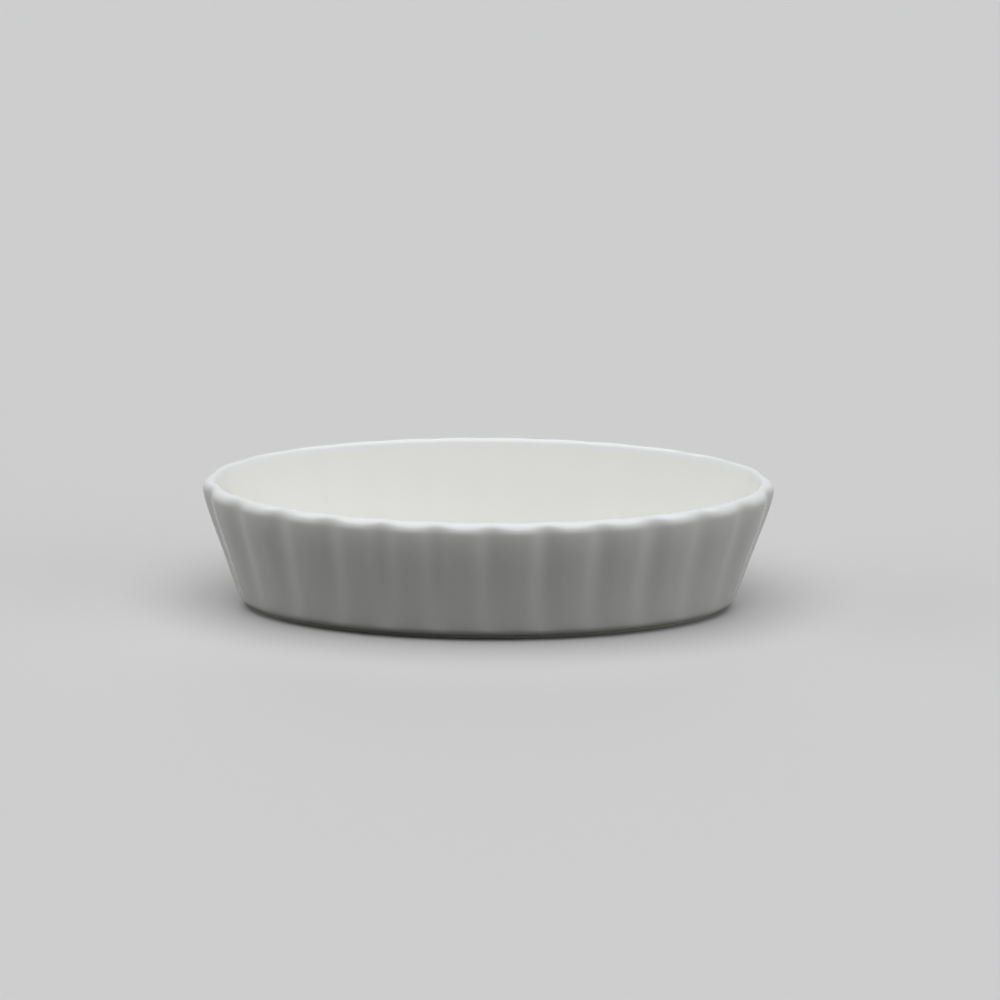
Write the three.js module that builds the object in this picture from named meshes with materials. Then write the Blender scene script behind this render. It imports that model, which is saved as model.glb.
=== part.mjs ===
// An oval, fluted creme brulee dish: a pressed porcelain body, the coat of glaze that wraps
// its inside, rim and outer wall, and the patch of glaze under its base. Between the two
// glazes the foot ring stays bare, because the dish stands on it in the kiln.
// Millimetres, +Z up, origin on the table under the middle of the dish, long axis along X.
import * as THREE from "three";

// Driving dimensions
const LENGTH = 152; // over the flute crests at the rim
const WIDTH = 88; // over the flute crests at the rim
const HEIGHT = 35;
const WALL = 4; // wall thickness, square to the wall, with a fully rounded rim
const FLOOR = 4; // thickness between the two glazed faces of the floor
const DRAFT_DEG = 17.75; // lean of the wall from upright
const INNER_CORNER = 6; // radius where the floor sweeps up into the wall
const OUTER_CORNER = 4.5; // radius where the wall turns under to the foot
const FLUTES = 26; // a crest points along the long axis at each end
const FLUTE_DEPTH = 1.25; // of the notch between two flutes, outside
const INNER_FLUTE_DEPTH = 0.6; // of the softer wave that follows it inside
const FOOT_HEIGHT = 1; // from the table to the glazed underside of the corner
const FOOT_WIDTH = 3.4;
const FOOT_CHAMFER = 0.5;
const RECESS = 1.5; // from the table to the glazed underside of the floor
const GLAZE = 0.25; // thickness of the fired glaze

// Fineness of the solids
const STEPS_PER_FLUTE = 6;
const STEPS_AROUND = FLUTES * STEPS_PER_FLUTE;
const STEPS_PER_ARC = 4;

// Section of the dish. Radii are measured along the short half axis, where the rim's crest
// line lies at WIDTH / 2, and the oval keeps each point's distance inside that crest line.
const rimRadius = WIDTH / 2;
const draft = THREE.MathUtils.degToRad(DRAFT_DEG);
const floorTop = RECESS + FLOOR;
const rimCentre = new THREE.Vector2(rimRadius - WALL / 2, HEIGHT - WALL / 2);
const innerCentre = cornerCentre(floorTop + INNER_CORNER, -(WALL / 2 + INNER_CORNER));
const outerCentre = cornerCentre(FOOT_HEIGHT + OUTER_CORNER, WALL / 2 - OUTER_CORNER);
const floorRadius = innerCentre.x;
const footRadius = outerCentre.x;

// The centre of a corner arc at a height, at a distance outside the wall's middle line.
function cornerCentre(height, outside) {
  const drop = height - rimCentre.y;
  return new THREE.Vector2(rimCentre.x + (outside + drop * Math.sin(draft)) / Math.cos(draft), height);
}

// The line from the middle of the floor, up the inside, over the rim and down to the foot,
// at a depth below the glazed surface.
function dishLine(depth) {
  const line = new THREE.Path();
  line.moveTo(0, floorTop - depth);
  line.lineTo(floorRadius, floorTop - depth);
  line.absarc(innerCentre.x, innerCentre.y, INNER_CORNER + depth, -Math.PI / 2, -draft, false);
  line.absarc(rimCentre.x, rimCentre.y, WALL / 2 - depth, Math.PI - draft, -draft, true);
  line.absarc(outerCentre.x, outerCentre.y, OUTER_CORNER - depth, -draft, -Math.PI / 2, true);
  return line.getPoints(STEPS_PER_ARC / 2);
}

// The bare foot ring, from its outer side under the corner to its inner side at the recess.
function footLine() {
  const line = new THREE.Path();
  const innerFoot = footRadius - FOOT_WIDTH;
  line.moveTo(footRadius, FOOT_CHAMFER);
  line.lineTo(footRadius - FOOT_CHAMFER, 0);
  line.lineTo(innerFoot + FOOT_CHAMFER, 0);
  line.lineTo(innerFoot, FOOT_CHAMFER);
  line.lineTo(innerFoot, RECESS);
  return line.getPoints();
}

// How deep a notch is cut at a point of the section: full on the wall, less on the inside
// than on the outside, and run out to nothing around the corners at the bottom.
function notchDepth(point) {
  const { lerp, smoothstep, clamp } = THREE.MathUtils;
  const fromRim = point.clone().sub(rimCentre);
  const outside = fromRim.x * Math.cos(draft) - fromRim.y * Math.sin(draft);
  const across = clamp(0.5 + outside / WALL, 0, 1);
  const low = lerp(floorTop, FOOT_HEIGHT, across);
  const rise = lerp(INNER_CORNER, OUTER_CORNER, across);
  return lerp(INNER_FLUTE_DEPTH, FLUTE_DEPTH, across) * smoothstep(point.y, low, low + rise);
}

// The rim's crest line seen from above, with its outward direction and how far each place
// lies towards a notch: 0 on a crest, 1 in a notch, along the round back of a flute.
// It runs clockwise, as a lathe's surface does.
const crestLine = new THREE.EllipseCurve(0, 0, LENGTH / 2, WIDTH / 2, 0, 2 * Math.PI, true);
crestLine.arcLengthDivisions = STEPS_AROUND * STEPS_PER_FLUTE;
const stations = Array.from({ length: STEPS_AROUND }, (_, step) => {
  const tangent = crestLine.getTangentAt(step / STEPS_AROUND);
  const fromCrest = ((step + STEPS_PER_FLUTE / 2) % STEPS_PER_FLUTE) / (STEPS_PER_FLUTE / 2) - 1;
  return {
    crest: crestLine.getPointAt(step / STEPS_AROUND),
    outward: new THREE.Vector2(-tangent.y, tangent.x),
    notch: fromCrest * fromCrest,
  };
});

// Turns a section like a lathe, then draws the round out to the fluted oval. Outside the flat
// of the floor a ring keeps its distance from the crest line, and inside it shrinks to the axis.
function turnedOval(section) {
  const geometry = new THREE.LatheGeometry(section, STEPS_AROUND);
  const position = geometry.getAttribute("position");
  for (let step = 0; step <= STEPS_AROUND; step++) {
    const { crest, outward, notch } = stations[step % STEPS_AROUND];
    section.forEach((point, row) => {
      const inset = rimRadius - Math.max(point.x, floorRadius) + notch * notchDepth(point);
      const spread = Math.min(point.x / floorRadius, 1);
      const at = crest.clone().addScaledVector(outward, -inset).multiplyScalar(spread);
      position.setXYZ(step * section.length + row, at.x, at.y, point.y);
    });
  }
  geometry.setIndex(splitQuads(position, section.length));
  geometry.computeVertexNormals();
  return geometry;
}

// The triangles of a turned surface. Each four-sided patch is split along its shorter diagonal,
// so the glaze and the body under it, turned in opposite directions, match face to face.
function splitQuads(position, rows) {
  const corner = (i) => new THREE.Vector3().fromBufferAttribute(position, i);
  const triangles = [];
  for (let step = 0; step < STEPS_AROUND; step++) {
    for (let row = 0; row < rows - 1; row++) {
      const a = step * rows + row;
      const [b, c, d] = [a + rows, a + rows + 1, a + 1];
      const alongAC = corner(a).distanceTo(corner(c)) < corner(b).distanceTo(corner(d));
      triangles.push(...(alongAC ? [a, b, c, a, c, d] : [a, b, d, b, c, d]));
    }
  }
  return triangles;
}

function piece(name, section, material) {
  const mesh = new THREE.Mesh(turnedOval(section), material);
  mesh.name = name;
  return mesh;
}

const bisque = new THREE.MeshStandardMaterial({ color: 0xe9e5da, roughness: 0.85, metalness: 0 });
const glaze = new THREE.MeshStandardMaterial({ color: 0xeeeeea, roughness: 0.12, metalness: 0 });

// The fired body: everything under the glaze, and the bare foot.
function porcelainBody() {
  const underFloor = new THREE.Vector2(0, RECESS + GLAZE);
  const recessEdge = new THREE.Vector2(footRadius - FOOT_WIDTH, RECESS + GLAZE);
  const section = [...dishLine(GLAZE), ...footLine(), recessEdge, underFloor];
  return piece("porcelain_body", section, bisque);
}

// One unbroken skin of glaze, from the foot's outer edge over the rim to the whole inside.
function glazeCoat() {
  return piece("glaze_coat", [...dishLine(0), ...dishLine(GLAZE).reverse()], glaze);
}

// The glaze inside the foot ring, under the floor.
function baseGlaze() {
  const edge = footRadius - FOOT_WIDTH;
  const section = [
    new THREE.Vector2(0, RECESS + GLAZE),
    new THREE.Vector2(edge, RECESS + GLAZE),
    new THREE.Vector2(edge, RECESS),
    new THREE.Vector2(0, RECESS),
  ];
  return piece("base_glaze", section, glaze);
}

const dish = new THREE.Group();
dish.name = "creme_brulee_dish";
dish.add(porcelainBody(), glazeCoat(), baseGlaze());

export default dish;
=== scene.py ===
"""The looks of an oval, fluted creme brulee dish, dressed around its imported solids.

The dish is fired porcelain under a gloss glaze. One skin of glaze covers the inside, the rim and the
outer wall, a patch of glaze covers the underside of the floor, and between them the foot ring is bare.
Metres, +Z up, origin on the table under the middle of the dish, long axis along X.
"""

import math
import random
from bisect import bisect_left

import bmesh
import bpy
from bpy.props import FloatProperty, FloatVectorProperty, IntProperty, PointerProperty
from mathutils import Matrix, Vector


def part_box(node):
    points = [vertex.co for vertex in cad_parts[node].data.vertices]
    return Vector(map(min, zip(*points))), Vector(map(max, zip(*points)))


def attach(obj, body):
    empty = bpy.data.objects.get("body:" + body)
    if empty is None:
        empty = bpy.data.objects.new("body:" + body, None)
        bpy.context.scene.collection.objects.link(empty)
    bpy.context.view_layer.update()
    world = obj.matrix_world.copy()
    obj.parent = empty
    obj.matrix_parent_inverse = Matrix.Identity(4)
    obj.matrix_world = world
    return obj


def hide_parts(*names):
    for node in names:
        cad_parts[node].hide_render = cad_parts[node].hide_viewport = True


bl_info = {
    "name": "Creme Brulee Dish",
    "version": (1, 0, 0),
    "blender": (4, 5, 0),
    "location": "View3D > Sidebar > Dish",
    "description": "Builds a glazed, fluted oval dish around its solids",
    "category": "Object",
}

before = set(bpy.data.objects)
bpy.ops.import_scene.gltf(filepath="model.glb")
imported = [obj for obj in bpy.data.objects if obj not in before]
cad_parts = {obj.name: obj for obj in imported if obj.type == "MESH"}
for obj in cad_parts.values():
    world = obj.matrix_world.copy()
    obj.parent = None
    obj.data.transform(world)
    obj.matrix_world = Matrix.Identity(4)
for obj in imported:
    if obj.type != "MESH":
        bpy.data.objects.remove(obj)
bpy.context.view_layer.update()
MM = 0.001

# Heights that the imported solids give
COAT_LOW, COAT_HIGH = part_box("glaze_coat")
BASE_LOW, BASE_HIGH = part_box("base_glaze")
FOOT_HEIGHT = COAT_LOW.z
RECESS = BASE_LOW.z
GLAZE = BASE_HIGH.z - BASE_LOW.z

# Names of what a ring of vertices carries with it as it is extruded
STATION = "station"
# How deep the notch is here, which sets both the thick glaze and the shade painted into the notches
POOLED_AND_NOTCH_SHADE = "pooled_glaze_and_notch_shade"


class DishShape(bpy.types.PropertyGroup):
    """Sizes of the dish."""

    length: FloatProperty(
        name="Length",
        description="Over the flute crests at the rim",
        default=152 * MM,
        min=0.05,
        unit="LENGTH",
    )
    width: FloatProperty(
        name="Width",
        description="Over the flute crests at the rim",
        default=88 * MM,
        min=0.04,
        unit="LENGTH",
    )
    height: FloatProperty(
        name="Height",
        description="From the table to the rim",
        default=35 * MM,
        min=0.015,
        unit="LENGTH",
    )
    wall: FloatProperty(
        name="Wall",
        description="Thickness of the wall and of its rim",
        default=4 * MM,
        min=0.002,
        unit="LENGTH",
    )
    rim_outside: FloatProperty(
        name="Rim Outside",
        description="From the rim's ridge to its outer edge",
        default=2.5 * MM,
        min=0.001,
        unit="LENGTH",
    )
    rim_outer_drop: FloatProperty(
        name="Rim Outer Drop",
        description="Height of the rim's outer round",
        default=2.5 * MM,
        min=0.001,
        unit="LENGTH",
    )
    rim_inner_drop: FloatProperty(
        name="Rim Inner Drop",
        description="Height of the rim's inner round",
        default=4.0 * MM,
        min=0.001,
        unit="LENGTH",
    )
    floor: FloatProperty(
        name="Floor", description="Thickness of the floor", default=4 * MM, min=0.002, unit="LENGTH"
    )
    lean: FloatProperty(
        name="Lean",
        description="Lean of the wall from upright",
        default=math.radians(17.75),
        min=0,
        subtype="ANGLE",
    )
    bulge: FloatProperty(
        name="Bulge",
        description="Swell of the outer wall under the rim",
        default=0.42 * MM,
        min=0,
        unit="LENGTH",
    )
    inner_corner: FloatProperty(
        name="Inner Corner",
        description="Radius from floor to wall",
        default=6 * MM,
        min=0.001,
        unit="LENGTH",
    )
    outer_corner: FloatProperty(
        name="Outer Corner",
        description="Radius from wall to foot",
        default=4.5 * MM,
        min=0.001,
        unit="LENGTH",
    )
    foot_width: FloatProperty(
        name="Foot Width",
        description="Width of the bare foot ring",
        default=3.4 * MM,
        min=0.001,
        unit="LENGTH",
    )
    flutes: IntProperty(
        name="Flutes",
        description="Flutes around the wall, with a crest at each end",
        default=26,
        min=8,
    )
    flute_depth: FloatProperty(
        name="Flute Depth",
        description="Depth of the notches outside",
        default=1.25 * MM,
        min=0,
        unit="LENGTH",
    )
    inner_flute_depth: FloatProperty(
        name="Inner Flute Depth",
        description="Depth of the waves inside",
        default=0.35 * MM,
        min=0,
        unit="LENGTH",
    )
    unevenness: FloatProperty(
        name="Unevenness",
        description="Share by which a notch's depth varies",
        default=0.1,
        min=0,
        subtype="FACTOR",
    )


class DishFinish(bpy.types.PropertyGroup):
    """Colours of the dish, in linear light."""

    glaze: FloatVectorProperty(
        name="Glaze",
        description="Glaze over the white body",
        default=(0.873, 0.875, 0.85),
        subtype="COLOR",
    )
    # Cooler than the glaze: thin glaze over the rim, with the bluish tint of the rim's highlight painted in
    thin_glaze_and_highlight_tint: FloatVectorProperty(
        name="Thin Glaze",
        description="Glaze drawn thin over the rim",
        default=(0.855, 0.866, 0.885),
        subtype="COLOR",
    )
    # Greyer than the glaze: glaze run thick into the notches, with the notches' shade painted in
    pooled_glaze_and_notch_shade: FloatVectorProperty(
        name="Pooled Glaze",
        description="Glaze run thick into the notches",
        default=(0.82, 0.828, 0.80),
        subtype="COLOR",
    )
    speck: FloatVectorProperty(
        name="Speck",
        description="Iron specks in the glaze",
        default=(0.42, 0.37, 0.30),
        subtype="COLOR",
    )
    bisque: FloatVectorProperty(
        name="Bisque",
        description="Bare fired porcelain",
        default=(0.73, 0.70, 0.65),
        subtype="COLOR",
    )
    bisque_grit: FloatVectorProperty(
        name="Bisque Grit",
        description="Darker grains in the bare foot",
        default=(0.50, 0.46, 0.40),
        subtype="COLOR",
    )


class DishStage(bpy.types.PropertyGroup):
    """Camera, light and floor."""

    azimuth: FloatProperty(
        name="Azimuth",
        description="Camera's turn towards +X",
        default=math.radians(-1.45),
        subtype="ANGLE",
    )
    elevation: FloatProperty(
        name="Elevation",
        description="Camera's height above level",
        default=math.radians(16.0),
        subtype="ANGLE",
    )
    roll: FloatProperty(
        name="Roll",
        description="Camera's own tilt",
        default=math.radians(0.62),
        subtype="ANGLE",
    )
    distance: FloatProperty(
        name="Distance",
        description="From the camera to the dish",
        default=1.9,
        min=0.3,
        unit="LENGTH",
    )
    lens: FloatProperty(name="Lens", description="Focal length in millimetres", default=256, min=20)
    aim_right: FloatProperty(
        name="Aim Right",
        description="How far the view is centred beside the dish",
        default=3.05 * MM,
        unit="LENGTH",
    )
    aim_up: FloatProperty(
        name="Aim Up",
        description="How far the view is centred above the table",
        default=28.2 * MM,
        unit="LENGTH",
    )
    softbox: FloatProperty(name="Softbox", description="Light from overhead", default=2.28, min=0)
    softbox_spread: FloatProperty(
        name="Softbox Spread",
        description="Angle that the overhead light fills",
        default=math.radians(78),
        subtype="ANGLE",
    )
    softbox_lean: FloatProperty(
        name="Softbox Lean",
        description="Overhead light's lean to the front",
        default=math.radians(14),
        subtype="ANGLE",
    )
    left_fill: FloatProperty(
        name="Left Fill",
        description="Light from the left",
        default=0.76,
        min=0,
    )
    right_fill: FloatProperty(
        name="Right Fill",
        description="Light from the right",
        default=0.77,
        min=0,
    )
    back_fill: FloatProperty(name="Back Fill", description="Light from behind", default=0.5, min=0)
    fill_colour: FloatVectorProperty(
        name="Fill Colour",
        description="Light from the sides",
        default=(0.99, 1.0, 1.0),
        subtype="COLOR",
    )
    left_turn: FloatProperty(
        name="Left Turn",
        description="How far round to the left its fill stands",
        default=math.radians(87),
        subtype="ANGLE",
    )
    right_turn: FloatProperty(
        name="Right Turn",
        description="How far round to the right its fill stands",
        default=math.radians(68),
        subtype="ANGLE",
    )
    fill_spread: FloatProperty(
        name="Fill Spread",
        description="Angle that each fill takes up",
        default=math.radians(45),
        subtype="ANGLE",
    )
    ambient: FloatProperty(name="Ambient", description="Light from all around", default=0.03, min=0)
    floor: FloatVectorProperty(
        name="Floor",
        description="Pale floor as it is seen",
        default=(0.68, 0.68, 0.68),
        subtype="COLOR",
    )
    floor_bounce: FloatVectorProperty(
        name="Floor Bounce",
        description="Floor as it lights the dish",
        default=(0.05, 0.05, 0.05),
        subtype="COLOR",
    )
    backdrop: FloatVectorProperty(
        name="Backdrop",
        description="What is seen past the floor",
        default=(0.66, 0.66, 0.66),
        subtype="COLOR",
    )


# Section of the dish


def limited(share):
    return min(max(share, 0), 1)


def blended(low, high, share):
    return (1 - share) * low + share * high


class Section:
    """The cross-section along the short half axis: how far out a point is, and how high."""

    FLOOR_RINGS = (0.08, 0.3, 0.52, 0.74, 0.9)  # shares of the flat of the floor
    ARC_STEPS = 6
    INNER_RIM_STEPS = 5
    OUTER_RIM_STEPS = 8
    WALL_STEPS = 7
    WALL_GRADING = 1.8  # above 1, so that the steps are finer under the rim
    SWELL_FADE = 4  # the larger, the sooner the swell under the rim fades down the wall
    RIM_SPRING = math.radians(11)  # by which the wall stands more upright where it leaves the rim
    RIM_FADE = 1.3  # how fast a notch fades as the rim rolls over to the inside
    LOW_NOTCH = 0.3  # share of a notch's depth that is left where the wall meets the corner

    def __init__(self, shape):
        self.shape = shape
        self.rim_radius = shape.width / 2
        self.rim_centre = Vector((self.rim_radius - shape.wall / 2, shape.height - shape.wall / 2))
        self.floor_top = RECESS + shape.floor
        inner_height = self.floor_top + shape.inner_corner
        outer_height = FOOT_HEIGHT + shape.outer_corner
        self.inner_centre = self.corner_centre(inner_height, -(shape.wall / 2 + shape.inner_corner))
        self.outer_centre = self.corner_centre(outer_height, shape.wall / 2 - shape.outer_corner)
        self.floor_radius = self.inner_centre.x
        self.foot_radius = self.outer_centre.x
        self.recess_radius = self.foot_radius - shape.foot_width

    def corner_centre(self, height, outside):
        """The centre of a corner arc at a height, at a distance outside the wall's middle line."""
        lean = self.shape.lean
        drop = height - self.rim_centre.y
        return Vector((self.rim_centre.x + (outside + drop * math.sin(lean)) / math.cos(lean), height))

    @staticmethod
    def arc(centre, radius, start, end, steps):
        turns = [start + (end - start) * step / steps for step in range(steps + 1)]
        return [centre + radius * Vector((math.cos(turn), math.sin(turn))) for turn in turns]

    @staticmethod
    def between(start, end, steps):
        return [start.lerp(end, step / steps) for step in range(1, steps)]

    def coat_line(self, depth):
        """From the floor's middle up the inside, over the rim and down to the foot, at a depth below
        the surface."""
        shape = self.shape
        floor = [Vector((share * self.floor_radius, self.floor_top - depth)) for share in self.FLOOR_RINGS]
        level, lean = -math.pi / 2, shape.lean
        inner = self.arc(self.inner_centre, shape.inner_corner + depth, level, -lean, self.ARC_STEPS)
        rim = self.rim_line(depth)
        outer = self.arc(self.outer_centre, shape.outer_corner - depth, -lean, level, self.ARC_STEPS)
        inner_wall = self.between(inner[-1], rim[0], self.WALL_STEPS)
        outer_wall = self.swollen(rim[-1], outer[0])
        return [*floor, *inner, *inner_wall, *rim, *outer_wall, *outer]

    def rim_line(self, depth):
        """Over the rim from the inner wall to the outer one: the parts of two ellipses, the inner one
        the taller and the outer one the wider."""
        shape = self.shape
        ridge = self.rim_radius - shape.rim_outside
        inner = Vector((shape.wall - shape.rim_outside - depth, shape.rim_inner_drop - depth))
        outer = Vector((shape.rim_outside - depth, shape.rim_outer_drop - depth))
        inner_turn = math.pi / 2 - math.atan(math.tan(shape.lean) * inner.y / inner.x)
        outer_turn = math.pi / 2 + math.atan(math.tan(shape.lean - self.RIM_SPRING) * outer.y / outer.x)
        top = shape.height - depth
        line = []
        for step in range(self.INNER_RIM_STEPS):
            turn = inner_turn * (1 - step / self.INNER_RIM_STEPS)
            line.append(Vector((ridge - inner.x * math.sin(turn), top - inner.y * (1 - math.cos(turn)))))
        for step in range(self.OUTER_RIM_STEPS + 1):
            turn = outer_turn * step / self.OUTER_RIM_STEPS
            line.append(Vector((ridge + outer.x * math.sin(turn), top - outer.y * (1 - math.cos(turn)))))
        return line

    def swollen(self, start, end):
        """The outer wall from rim to corner, swelling a little just under the rim."""
        outward = Vector((math.cos(self.shape.lean), -math.sin(self.shape.lean)))
        fullest = 1 / (self.SWELL_FADE + 1)
        most = fullest * (1 - fullest) ** self.SWELL_FADE
        line = []
        for step in range(1, self.WALL_STEPS):
            share = (step / self.WALL_STEPS) ** self.WALL_GRADING
            swell = self.shape.bulge * share * (1 - share) ** self.SWELL_FADE / most
            line.append(start.lerp(end, share) + swell * outward)
        return line

    def under_line(self, height):
        """From the recess's edge to its middle, at a height."""
        return [Vector((share * self.recess_radius, height)) for share in (1, *reversed(self.FLOOR_RINGS))]

    def notch_depth(self, point):
        """How deep a notch is cut here: less inside than outside, less down the wall, and run out to
        nothing at the bottom corners."""
        shape = self.shape
        from_rim = point - self.rim_centre
        outside = from_rim.x * math.cos(shape.lean) - from_rim.y * math.sin(shape.lean)
        across = limited(0.5 + outside / shape.wall)
        low = blended(self.floor_top, FOOT_HEIGHT, across)
        rise = blended(shape.inner_corner, shape.outer_corner, across)
        share = limited((point.y - low) / rise)
        climb = limited((point.y - low) / (self.rim_centre.y - low))
        full = blended(shape.inner_flute_depth, shape.flute_depth, across**self.RIM_FADE)
        full *= self.LOW_NOTCH + (1 - self.LOW_NOTCH) * climb
        return full * share * share * (3 - 2 * share)


# The fluted oval


class FlutedOval:
    """The rim's crest line seen from above, with the notches between its flutes, on even steps."""

    STEPS_PER_FLUTE = 10
    FINE_STEPS = 4000
    NOTCH_WIDTH = 0.75  # share of a flute's pitch that a notch takes up
    SEED = 7

    def __init__(self, shape):
        self.shape = shape
        self.section = Section(shape)
        self.count = shape.flutes * self.STEPS_PER_FLUTE
        draw = random.Random(self.SEED)
        depths = [1 + shape.unevenness * draw.uniform(-1, 1) for _ in range(shape.flutes)]
        self.notches = [self.notch_share(step, depths) for step in range(self.count)]
        self.turns = self.even_turns()

    def notch_share(self, step, depths):
        """0 on the flat back of a flute, about 1 in the middle of a round notch."""
        along = step / self.STEPS_PER_FLUTE
        notch = math.floor(along)
        from_notch = abs(along - notch - 0.5) * 2
        return depths[notch] * math.cos(math.pi / 2 * min(from_notch / self.NOTCH_WIDTH, 1)) ** 2

    def even_turns(self):
        """The ellipse's own angle at each even step along its length."""
        a, b = self.shape.length / 2, self.shape.width / 2
        fine = [2 * math.pi * step / self.FINE_STEPS for step in range(self.FINE_STEPS + 1)]
        points = [Vector((a * math.cos(turn), b * math.sin(turn))) for turn in fine]
        along = [0.0]
        for start, end in zip(points, points[1:]):
            along.append(along[-1] + (end - start).length)
        turns = []
        for step in range(self.count):
            want = along[-1] * step / self.count
            after = max(bisect_left(along, want), 1)
            share = (want - along[after - 1]) / (along[after] - along[after - 1])
            turns.append(fine[after - 1] + share * (fine[after] - fine[after - 1]))
        return turns

    def place(self, station, point):
        """A point of the section at a station: it keeps its distance inside the crest line, and inside
        the flat of the floor it shrinks towards the axis."""
        a, b = self.shape.length / 2, self.shape.width / 2
        turn = self.turns[station]
        crest = Vector((a * math.cos(turn), b * math.sin(turn)))
        outward = Vector((math.cos(turn) / a, math.sin(turn) / b)).normalized()
        notch = self.notches[station] * self.section.notch_depth(point)
        inset = self.section.rim_radius - max(point.x, self.section.floor_radius) + notch
        across = (crest - inset * outward) * min(point.x / self.section.floor_radius, 1)
        return Vector((across.x, across.y, point.y))

    def pooled_and_notch_shade(self, station, point):
        """How much glaze has run together here, and how much shade is painted into the notch: 1 in the
        deepest part of a notch.
        """
        return self.notches[station] * self.section.notch_depth(point) / self.shape.flute_depth


# Modelling


def place_ring(piece, oval, point):
    """Moves the selected ring of vertices to a point of the section, all the way round the oval."""
    mesh = bmesh.from_edit_mesh(piece.data)
    station = mesh.verts.layers.int[STATION]
    pooled_and_notch_shade = mesh.verts.layers.float[POOLED_AND_NOTCH_SHADE]
    for vertex in mesh.verts:
        if vertex.select:
            vertex.co = oval.place(vertex[station], point)
            vertex[pooled_and_notch_shade] = oval.pooled_and_notch_shade(vertex[station], point)
    bmesh.update_edit_mesh(piece.data)


def draw_round(name, oval, section):
    """Draws a section round the oval, ring by ring, rounds the cage and closes the middle at both ends."""
    bpy.ops.object.select_all(action="DESELECT")
    bpy.ops.mesh.primitive_circle_add(vertices=oval.count, radius=oval.shape.width / 2, enter_editmode=True)
    piece = bpy.context.object
    piece.name = piece.data.name = name
    mesh = bmesh.from_edit_mesh(piece.data)
    station = mesh.verts.layers.int.new(STATION)
    mesh.verts.layers.float.new(POOLED_AND_NOTCH_SHADE)
    for vertex in mesh.verts:
        vertex[station] = vertex.index
    place_ring(piece, oval, section[0])
    for point in section[1:]:
        bpy.ops.mesh.extrude_edges_indiv()
        place_ring(piece, oval, point)
    bpy.ops.object.mode_set(mode="OBJECT")
    piece.data.attributes.remove(piece.data.attributes[STATION])
    round_cage(piece)
    close_ends()
    bpy.ops.object.shade_smooth()
    return piece


def round_cage(piece):
    """One level of subdivision, while the ends are open: a face of hundreds of sides would slow it."""
    rounding = piece.modifiers.new("Rounding", "SUBSURF")
    rounding.levels = rounding.render_levels = 1
    bpy.ops.object.modifier_apply(modifier=rounding.name)


def close_ends():
    """Fans of triangles over the small holes at the middle, and all faces turned outwards."""
    bpy.ops.object.mode_set(mode="EDIT")
    bpy.ops.mesh.select_mode(type="EDGE")
    bpy.ops.mesh.select_all(action="DESELECT")
    bpy.ops.mesh.select_non_manifold()
    bpy.ops.mesh.edge_face_add()
    bpy.ops.mesh.poke()
    bpy.ops.mesh.select_all(action="SELECT")
    bpy.ops.mesh.normals_make_consistent(inside=False)
    bpy.ops.object.mode_set(mode="OBJECT")


def fit_out(piece, node, material):
    """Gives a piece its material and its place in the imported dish."""
    piece.data.materials.append(material)
    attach(piece, "root")
    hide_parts(node)


# Shader nodes


class Value:
    """A number that a node gives, for sums in Python: each operator adds a Math node."""

    def __init__(self, nodes, socket):
        self.nodes = nodes
        self.socket = socket

    def sum(self, operation, *terms):
        return self.nodes.add("Math", {"operation": operation}, dict(enumerate(terms)))

    def __add__(self, other):
        return self.sum("ADD", self, other)

    __radd__ = __add__

    def __sub__(self, other):
        return self.sum("SUBTRACT", self, other)

    def __rsub__(self, other):
        return self.sum("SUBTRACT", other, self)

    def __mul__(self, other):
        return self.sum("MULTIPLY", self, other)

    __rmul__ = __mul__

    def clamped(self, low, high):
        """0 below the low value, 1 above the high one, and a smooth step between them."""
        settings = {"interpolation_type": "SMOOTHSTEP"}
        return self.nodes.add("MapRange", settings, {"Value": self, "From Min": low, "From Max": high})


class Nodes:
    """A material's or the world's node tree, emptied and filled again."""

    # The Mix node has a set of sockets for each kind of data: these are its colours
    MIX_LOW, MIX_HIGH = 6, 7
    MIX_RESULT = 2

    def __init__(self, owner):
        owner.use_nodes = True
        self.tree = owner.node_tree
        self.tree.nodes.clear()

    def add(self, kind, settings=None, inputs=None, output=0):
        """Adds a node of a kind, sets it, and fills its sockets with numbers, colours or values."""
        node = self.tree.nodes.new("ShaderNode" + kind)
        for name, setting in (settings or {}).items():
            setattr(node, name, setting)
        for name, given in (inputs or {}).items():
            if isinstance(given, Value):
                self.tree.links.new(given.socket, node.inputs[name])
            else:
                node.inputs[name].default_value = given
        return Value(self, node.outputs[output]) if len(node.outputs) else node

    def mixed(self, share, low, high):
        """A colour between two colours."""
        settings = {"data_type": "RGBA", "clamp_factor": True}
        inputs = {"Factor": share, self.MIX_LOW: low, self.MIX_HIGH: high}
        return self.add("Mix", settings, inputs, output=self.MIX_RESULT)

    def noise(self, scale, detail):
        """A noise over the piece's own coordinates, with so many grains to the metre."""
        coordinates = self.add("TexCoord", output="Object")
        inputs = {"Vector": coordinates, "Scale": scale, "Detail": detail}
        return self.add("TexNoise", {}, inputs)


def colour(rgb):
    """A colour property as a node socket takes it."""
    return (*rgb, 1.0)


# Finishes


NOISE_MIDDLE = 0.5  # of a noise's values


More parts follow.
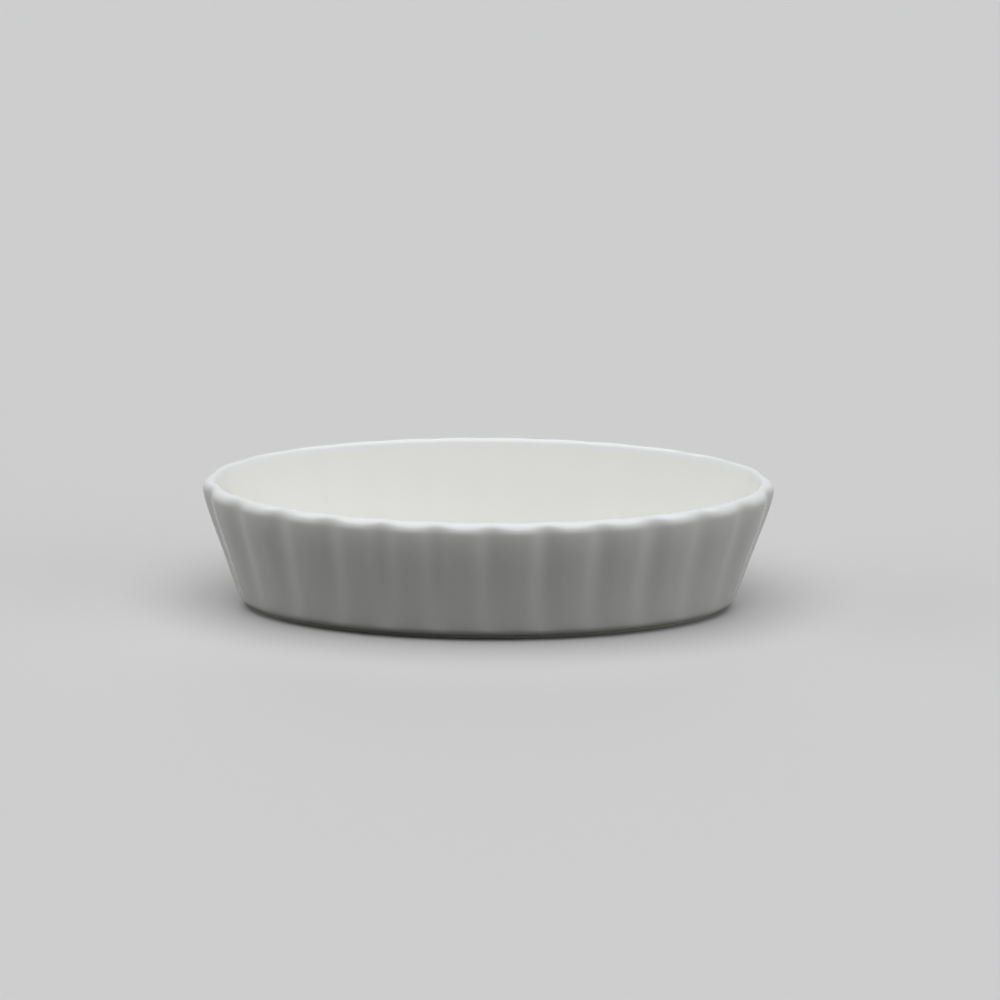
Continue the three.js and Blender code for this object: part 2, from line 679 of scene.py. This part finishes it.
class GlazeGrain:
    """How the glaze varies. Each share says how strongly a layer shows."""

    CLOUD = {"scale": 22, "detail": 3}
    RIPPLE = {"scale": 95, "detail": 1.5}
    ORANGE_PEEL = {"scale": 620, "detail": 1}
    THIN_AND_TINT_BAND = 0.9  # height of the band of thin glaze at the rim, where a cool highlight tint is also painted, in thicknesses of the wall
    POOL_AND_SHADE_EDGE = (0.25, 1.0)  # from none to full pooled glaze and painted notch shade, in depths of a notch
    SPECK_SCALE = 115.0  # places for a speck to the metre
    SPECK_EDGE = (0.015, 0.04)  # a speck's soft edge, in distances between two places
    SPECK_DRAW = (0.86, 0.9)  # draws under the first leave their place clear
    # How strongly the thin glaze and the painted highlight tint show at the rim
    THIN_AND_TINT_SHARE = 0.8
    # How strongly the pooled glaze and the painted notch shade show
    POOL_AND_SHADE_SHARE = 0.6
    CLOUD_SHARE = 0.5
    SPECK_SHARE = 0.55
    GLOSS = 0.1  # roughness of the glaze before it varies
    CLOUD_GLOSS = 0.06
    SPECK_GLOSS = 0.3
    RIPPLE_RELIEF = 0.6
    PEEL_RELIEF = 0.05
    SPECK_RELIEF = 0.25
    BUMP = {"Strength": 0.35, "Distance": 0.25 * MM}
    IOR = 1.5


def glaze_material(name, finish, shape):
    """Clear gloss glaze on white porcelain: thinner over the rim, where the cool tint of the rim's
    highlight is painted in, thicker and greyer in the notches, where the grey also paints the notches'
    shade, with a slow cloud in its tone, a fine ripple in its surface, and a few specks."""
    look = GlazeGrain
    material = bpy.data.materials.new(name)
    nodes = Nodes(material)
    place = nodes.add("TexCoord", output="Object")
    height = nodes.add("SeparateXYZ", {}, {"Vector": place}, output="Z")
    pooled_and_notch_shade = nodes.add("Attribute", {"attribute_name": POOLED_AND_NOTCH_SHADE}, output="Fac")
    cloud = nodes.noise(**look.CLOUD)
    ripple = nodes.noise(**look.RIPPLE)
    orange_peel = nodes.noise(**look.ORANGE_PEEL)

    # Band at the top of the rim, where the thin glaze and the painted cool highlight tint go
    rim = height.clamped(shape.height - look.THIN_AND_TINT_BAND * shape.wall, shape.height)
    # The notches, where thick glaze and painted shade make the glaze greyer
    pool_and_notch_shade = pooled_and_notch_shade.clamped(*look.POOL_AND_SHADE_EDGE)
    cells = {"Vector": place, "Scale": look.SPECK_SCALE, "Randomness": 1.0}
    from_speck = nodes.add("TexVoronoi", {}, cells)
    speck_draw = nodes.add("TexVoronoi", {}, cells, output="Color")
    lottery = nodes.add("SeparateColor", {}, {"Color": speck_draw})
    speck = (1 - from_speck.clamped(*look.SPECK_EDGE)) * lottery.clamped(*look.SPECK_DRAW)

    # Towards the top of the rim: thin glaze, with the cool tint of the rim's highlight painted in
    tone = nodes.mixed(rim * look.THIN_AND_TINT_SHARE, colour(finish.glaze), colour(finish.thin_glaze_and_highlight_tint))
    # Greyer in the notches, from pooled glaze with painted shade, and greyer at random with the cloud
    pool_shade_and_cloud = pool_and_notch_shade * look.POOL_AND_SHADE_SHARE + (cloud - NOISE_MIDDLE) * look.CLOUD_SHARE
    tone = nodes.mixed(pool_shade_and_cloud, tone, colour(finish.pooled_glaze_and_notch_shade))
    tone = nodes.mixed(speck * look.SPECK_SHARE, tone, colour(finish.speck))
    roughness = look.GLOSS + (cloud - NOISE_MIDDLE) * look.CLOUD_GLOSS + speck * look.SPECK_GLOSS
    relief = ripple * look.RIPPLE_RELIEF + orange_peel * look.PEEL_RELIEF - speck * look.SPECK_RELIEF
    bump = nodes.add("Bump", {}, {**look.BUMP, "Height": relief})
    surface = nodes.add(
        "BsdfPrincipled",
        {},
        {"Base Color": tone, "Roughness": roughness, "IOR": look.IOR, "Normal": bump},
    )
    nodes.add("OutputMaterial", {}, {"Surface": surface})
    return material


class BisqueGrain:
    """How the bare porcelain varies. Each share says how strongly a layer shows."""

    MOTTLE = {"scale": 160, "detail": 4}
    GRAIN = {"scale": 2600, "detail": 2}
    SCUFF_HEIGHT = 0.35 * MM  # above the table
    SCUFF_EDGE = (0.35, 0.75)  # values of the mottle between which a scuff begins
    GRIT_EDGE = (0.6, 0.72)  # values of the grain between which it turns dark
    GRIT_SHARE = 0.5
    SCUFF_SHARE = 0.35
    GRAIN_RELIEF = 0.7
    MOTTLE_RELIEF = 0.5
    BUMP = {"Strength": 0.6, "Distance": 0.2 * MM}
    ROUGHNESS = 0.82
    MOTTLE_ROUGHNESS = 0.1


def bisque_material(finish):
    """Bare fired porcelain: matt, sandy to the touch, with darker grains and a scuffed standing face."""
    look = BisqueGrain
    material = bpy.data.materials.new("bare_bisque")
    nodes = Nodes(material)
    place = nodes.add("TexCoord", output="Object")
    height = nodes.add("SeparateXYZ", {}, {"Vector": place}, output="Z")
    mottle = nodes.noise(**look.MOTTLE)
    grain = nodes.noise(**look.GRAIN)
    scuff = (1 - height.clamped(0.0, look.SCUFF_HEIGHT)) * mottle.clamped(*look.SCUFF_EDGE)
    grit = grain.clamped(*look.GRIT_EDGE)
    dark = grit * look.GRIT_SHARE + scuff * look.SCUFF_SHARE
    tone = nodes.mixed(dark, colour(finish.bisque), colour(finish.bisque_grit))
    relief = grain * look.GRAIN_RELIEF + mottle * look.MOTTLE_RELIEF
    bump = nodes.add("Bump", {}, {**look.BUMP, "Height": relief})
    roughness = look.ROUGHNESS + mottle * look.MOTTLE_ROUGHNESS
    surface = nodes.add(
        "BsdfPrincipled",
        {},
        {"Base Color": tone, "Roughness": roughness, "Normal": bump},
    )
    nodes.add("OutputMaterial", {}, {"Surface": surface})
    return material


# Operators


class DISH_OT_porcelain_body(bpy.types.Operator):
    """Model the fired body with its bare foot ring"""

    bl_idname = "dish.porcelain_body"
    bl_label = "Porcelain Body"

    FOOT_ROUND = 0.5 * MM
    FOOT_BEND = 0.25  # share of the round that is left where it passes its corner

    def execute(self, context):
        shape = context.scene.dish_shape
        oval = FlutedOval(shape)
        section = oval.section
        line = section.coat_line(GLAZE) + self.foot_line(section)
        line += section.under_line(RECESS + GLAZE)
        piece = draw_round("fired_body", oval, line)
        fit_out(piece, "porcelain_body", bisque_material(context.scene.dish_finish))
        return {"FINISHED"}

    def foot_line(self, section):
        """The bare ring: down its outer side, across the flat it stands on, and up to the recess."""
        outer, inner = section.foot_radius, section.recess_radius
        radius = self.FOOT_ROUND
        bend = self.FOOT_ROUND * self.FOOT_BEND
        return [
            Vector((outer, FOOT_HEIGHT)),
            Vector((outer, radius)),
            Vector((outer - bend, bend)),
            Vector((outer - radius, 0)),
            Vector(((outer + inner) / 2, 0)),
            Vector((inner + radius, 0)),
            Vector((inner + bend, bend)),
            Vector((inner, radius)),
            Vector((inner, RECESS)),
        ]


class DISH_OT_glaze_coat(bpy.types.Operator):
    """Model the skin of glaze over the inside, the rim and the outer wall"""

    bl_idname = "dish.glaze_coat"
    bl_label = "Glaze Coat"

    def execute(self, context):
        shape = context.scene.dish_shape
        oval = FlutedOval(shape)
        outside = oval.section.coat_line(0)
        inside = oval.section.coat_line(GLAZE)
        piece = draw_round("glaze_skin", oval, outside + inside[::-1])
        finish = context.scene.dish_finish
        fit_out(piece, "glaze_coat", glaze_material("gloss_glaze", finish, shape))
        return {"FINISHED"}


class DISH_OT_base_glaze(bpy.types.Operator):
    """Model the patch of glaze under the floor, drawn down at its edge against the foot ring"""

    bl_idname = "dish.base_glaze"
    bl_label = "Base Glaze"

    EDGE_WIDTH = 1.2 * MM
    EDGE_DROP = 0.35 * MM
    BEND_WIDTH, BEND_DROP = 0.25, 0.3  # shares of the two at the bend of the edge

    def execute(self, context):
        shape = context.scene.dish_shape
        oval = FlutedOval(shape)
        top = oval.section.under_line(RECESS + GLAZE)[::-1]
        edge = oval.section.recess_radius
        drawn_down = [
            Vector((edge, RECESS - self.EDGE_DROP)),
            Vector((
                edge - self.BEND_WIDTH * self.EDGE_WIDTH,
                RECESS - self.BEND_DROP * self.EDGE_DROP,
            )),
            Vector((edge - self.EDGE_WIDTH, RECESS)),
        ]
        below = oval.section.under_line(RECESS)[1:]
        piece = draw_round("floor_glaze", oval, top + drawn_down + below)
        finish = context.scene.dish_finish
        fit_out(piece, "base_glaze", glaze_material("underside_glaze", finish, shape))
        return {"FINISHED"}


class DISH_OT_stage(bpy.types.Operator):
    """Set the floor, the overhead light and the fills, the backdrop and the camera"""

    bl_idname = "dish.stage"
    bl_label = "Stage"

    FLOOR_RADIUS = 6.0
    FLOOR_SIDES = 96
    VIEW_DEPTH = 50.0  # how far the camera sees
    LIGHT_HEIGHT = 1.5
    FILL_TILT = math.radians(75)  # of a fill's beam from straight down
    SENSOR_WIDTH = 36.0

    def execute(self, context):
        stage = context.scene.dish_stage
        self.floor(stage)
        self.lamps(stage)
        self.world(context.scene, stage)
        self.camera(context.scene, stage)
        context.scene.view_settings.view_transform = "Standard"
        return {"FINISHED"}

    @staticmethod
    def seen(nodes):
        """1 for what the camera sees, straight or in a gloss or a glass, and 0 for light on its way."""
        is_camera = nodes.add("LightPath", output="Is Camera Ray")
        is_glossy = nodes.add("LightPath", output="Is Glossy Ray")
        is_transmission = nodes.add("LightPath", output="Is Transmission Ray")
        return (is_camera + is_glossy + is_transmission).clamped(0.0, 1.0)

    def floor(self, stage):
        bpy.ops.object.select_all(action="DESELECT")
        bpy.ops.mesh.primitive_circle_add(
            vertices=self.FLOOR_SIDES, radius=self.FLOOR_RADIUS, fill_type="NGON"
        )
        floor = bpy.context.object
        floor.name = "floor"
        material = bpy.data.materials.new("pale_floor")
        nodes = Nodes(material)
        tone = nodes.mixed(self.seen(nodes), colour(stage.floor_bounce), colour(stage.floor))
        paint = nodes.add("BsdfDiffuse", {}, {"Color": tone})
        from_below = nodes.add("NewGeometry", output="Backfacing")
        see_through = nodes.add("BsdfTransparent")
        surface = nodes.add("MixShader", {}, {"Fac": from_below, 1: paint, 2: see_through})
        nodes.add("OutputMaterial", {}, {"Surface": surface})
        floor.data.materials.append(material)

    def lamps(self, stage):
        self.lamp("overhead_softbox", (stage.softbox_lean, 0, 0), stage.softbox, stage.softbox_spread)
        fills = {
            "left_fill": (-stage.left_turn, stage.left_fill),
            "right_fill": (stage.right_turn, stage.right_fill),
            "back_fill": (math.pi, stage.back_fill),
        }
        for name, (turn, strength) in fills.items():
            lamp = self.lamp(name, (self.FILL_TILT, 0, turn), strength, stage.fill_spread)
            lamp.data.color = stage.fill_colour
            lamp.visible_glossy = False

    def lamp(self, name, turn, strength, spread):
        """A soft light from one side: the wide sun of a studio's light box."""
        bpy.ops.object.light_add(type="SUN", location=(0, 0, self.LIGHT_HEIGHT), rotation=turn)
        lamp = bpy.context.object
        lamp.name = name
        lamp.data.energy = strength
        lamp.data.angle = spread
        return lamp

    def world(self, scene, stage):
        scene.world = bpy.data.worlds.new("studio")
        nodes = Nodes(scene.world)
        ambient = colour([stage.ambient] * 3)
        tone = nodes.mixed(self.seen(nodes), ambient, colour(stage.backdrop))
        light = nodes.add("Background", {}, {"Color": tone})
        nodes.add("OutputWorld", {}, {"Surface": light})

    def camera(self, scene, stage):
        bpy.ops.object.camera_add()
        camera = bpy.context.object
        camera.name = "photo_camera"
        camera.data.sensor_width = self.SENSOR_WIDTH
        camera.data.lens = stage.lens
        camera.data.clip_end = self.VIEW_DEPTH
        level = math.cos(stage.elevation)
        back = Vector((
            math.sin(stage.azimuth) * level,
            -math.cos(stage.azimuth) * level,
            math.sin(stage.elevation),
        ))
        facing = (-back).to_track_quat("-Z", "Y").to_matrix()
        right, up = facing.col[0], facing.col[1]
        aim = stage.aim_right * right + stage.aim_up * up
        turn = facing @ Matrix.Rotation(stage.roll, 3, "Z")
        camera.matrix_world = Matrix.LocRotScale(aim + stage.distance * back, turn, None)
        scene.camera = camera


class VIEW3D_PT_dish(bpy.types.Panel):
    """Buttons for the dish's pieces and the sizes and colours behind them"""

    bl_label = "Creme Brulee Dish"
    bl_space_type = "VIEW_3D"
    bl_region_type = "UI"
    bl_category = "Dish"

    def draw(self, context):
        for operator in OPERATORS:
            self.layout.operator(operator.bl_idname)
        for group in SETTINGS:
            settings = getattr(context.scene, group)
            box = self.layout.box()
            for name in settings.__annotations__:
                box.prop(settings, name)


OPERATORS = (DISH_OT_stage, DISH_OT_porcelain_body, DISH_OT_glaze_coat, DISH_OT_base_glaze)
SETTINGS = {"dish_shape": DishShape, "dish_finish": DishFinish, "dish_stage": DishStage}
CLASSES = (*SETTINGS.values(), *OPERATORS, VIEW3D_PT_dish)


def register():
    for cls in CLASSES:
        bpy.utils.register_class(cls)
    for name, group in SETTINGS.items():
        setattr(bpy.types.Scene, name, PointerProperty(type=group))


def unregister():
    for name in SETTINGS:
        delattr(bpy.types.Scene, name)
    for cls in reversed(CLASSES):
        bpy.utils.unregister_class(cls)


def main():
    register()
    bpy.ops.dish.stage()
    bpy.ops.dish.porcelain_body()
    bpy.ops.dish.glaze_coat()
    bpy.ops.dish.base_glaze()


if __name__ == "__main__":
    main()
